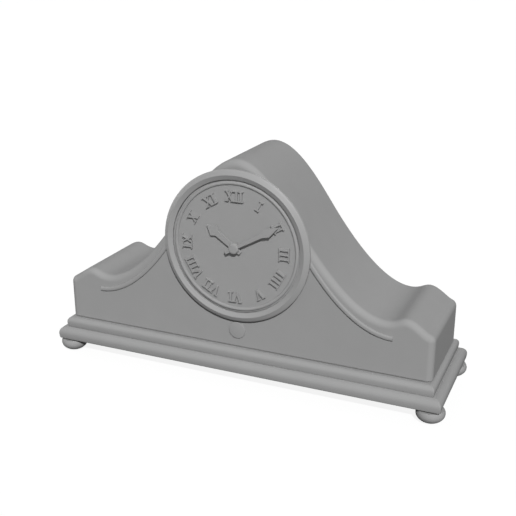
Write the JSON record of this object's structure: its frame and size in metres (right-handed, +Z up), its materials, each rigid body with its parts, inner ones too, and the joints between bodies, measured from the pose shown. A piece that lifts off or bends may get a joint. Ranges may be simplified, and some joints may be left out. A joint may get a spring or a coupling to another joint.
{
  "type": "tambour mantel clock",
  "caption": "Tambour mantel clock with a humped case on a stepped plinth and ball feet, a round dial behind a hinged bezel, and a back-wound lever movement behind a hinged rear door.",
  "frame": {"origin": "centre of the footprint on the surface the clock stands on", "axes": "+X along the clock to its right end seen from the front, +Y from the front to the back, +Z up"},
  "size_m": [0.3036, 0.0934, 0.1652],
  "materials": {
    "case_wood": "satin",
    "trim_grey": "matte",
    "bezel_metal": "satin",
    "dial_face": "matte",
    "hand_steel": "satin",
    "numeral_paint": "matte",
    "glass": "polished",
    "brass": "brushed",
    "steel": "polished",
    "blue_steel": "polished",
    "block_wood": "raw"
  },
  "bodies": {
    "case": {"case_front": "case_wood", "case_wrap": "case_wood", "case_back": "case_wood", "glue_blocks": "block_wood", "plinth_upper": "case_wood", "plinth_lower": "case_wood", "plinth_screws": "brass", "foot_front_left": "case_wood", "foot_front_right": "case_wood", "foot_back_left": "case_wood", "foot_back_right": "case_wood", "bead_left": "case_wood", "bead_right": "case_wood", "roundel": "trim_grey", "bezel_seat": "bezel_metal", "seat_screws": "brass", "bezel_hinge_pin": "steel", "dial": "dial_face", "dial_feet": "brass", "numerals": "numeral_paint", "sight_ring": "dial_face", "front_plate": "brass", "plate_screws": "steel", "back_plate": "brass", "pillars": "brass", "pillar_nuts": "steel", "minute_stud": "steel", "click_spring": "blue_steel", "hairspring": "blue_steel", "balance_cock": "brass", "cock_screw": "blue_steel", "door_hinge": "brass", "door_hinge_pin": "steel", "door_screws": "brass"},
    "bezel": {"bezel": "bezel_metal", "bezel_glass": "glass", "glass_ring": "bezel_metal"},
    "door": {"back_door": "brass", "door_knob": "brass"},
    "centre": {"centre_arbor": "brass", "cannon_pinion": "steel", "minute_hand": "hand_steel", "hand_cap": "hand_steel", "setting_knob": "brass"},
    "hour": {"hour_wheel": "brass", "hour_hand": "hand_steel"},
    "minute_work": {"minute_wheel": "brass"},
    "barrel": {"barrel": "brass", "barrel_cover": "brass", "mainspring": "blue_steel"},
    "winding": {"barrel_arbor": "steel", "ratchet_wheel": "steel", "winding_key": "brass"},
    "click": {"click": "steel"},
    "third": {"third_wheel": "brass"},
    "fourth": {"fourth_wheel": "brass"},
    "escape": {"escape_wheel": "brass"},
    "lever": {"lever": "steel"},
    "balance": {"balance_wheel": "brass"}
  },
  "joints": [
    {"name": "bezel_hinge", "type": "hinge", "parent": "case", "child": "bezel", "pos_m": [-0.05335, -0.03895, 0.1041], "axis": [0, 0, -1], "range_deg": [0, 100]},
    {"name": "door_hinge_joint", "type": "hinge", "parent": "case", "child": "door", "pos_m": [0.0447, 0.0385, 0.1041], "axis": [0, 0, -1], "range_deg": [0, 115]},
    {"name": "minute_turn", "type": "hinge", "parent": "case", "child": "centre", "pos_m": [0, 0, 0.1041], "axis": [0, 1, 0], "continuous": true},
    {"name": "hour_turn", "type": "hinge", "parent": "case", "child": "hour", "pos_m": [0, 0, 0.1041], "axis": [0, 1, 0], "continuous": true},
    {"name": "minute_wheel_turn", "type": "hinge", "parent": "case", "child": "minute_work", "pos_m": [0.0048, 0, 0.09579], "axis": [0, 1, 0], "continuous": true},
    {"name": "barrel_turn", "type": "hinge", "parent": "case", "child": "barrel", "pos_m": [0, 0, 0.0841], "axis": [0, 1, 0], "continuous": true},
    {"name": "third_turn", "type": "hinge", "parent": "case", "child": "third", "pos_m": [0.0085, 0, 0.11882], "axis": [0, 1, 0], "continuous": true},
    {"name": "fourth_turn", "type": "hinge", "parent": "case", "child": "fourth", "pos_m": [-0.00553, 0, 0.12692], "axis": [0, 1, 0], "continuous": true},
    {"name": "escape_turn", "type": "hinge", "parent": "case", "child": "escape", "pos_m": [-0.01793, 0, 0.12241], "axis": [0, 1, 0], "continuous": true},
    {"name": "winding_turn", "type": "hinge", "parent": "case", "child": "winding", "pos_m": [0, 0, 0.0841], "axis": [0, 1, 0], "continuous": true},
    {"name": "click_pivot", "type": "hinge", "parent": "case", "child": "click", "pos_m": [0.01252, 0, 0.08916], "axis": [0, -1, 0], "range_deg": [-8, 0], "stiffness_Nm_per_rad": 0.0005},
    {"name": "lever_rock", "type": "hinge", "parent": "case", "child": "lever", "pos_m": [-0.02311, 0, 0.11554], "axis": [0, 1, 0], "range_deg": [-6, 6]},
    {"name": "balance_swing", "type": "hinge", "parent": "case", "child": "balance", "pos_m": [-0.0272, 0, 0.11011], "axis": [0, 1, 0], "range_deg": [-200, 200], "stiffness_Nm_per_rad": 0.0002}
  ],
  "couplings": [
    {"joint": "hour_turn", "follows": "minute_turn", "ratio": 0.083333},
    {"joint": "minute_wheel_turn", "follows": "minute_turn", "ratio": -0.33333},
    {"joint": "barrel_turn", "follows": "minute_turn", "ratio": -0.11111},
    {"joint": "third_turn", "follows": "minute_turn", "ratio": -7.5},
    {"joint": "fourth_turn", "follows": "minute_turn", "ratio": 60},
    {"joint": "escape_turn", "follows": "minute_turn", "ratio": -600}
  ]
}
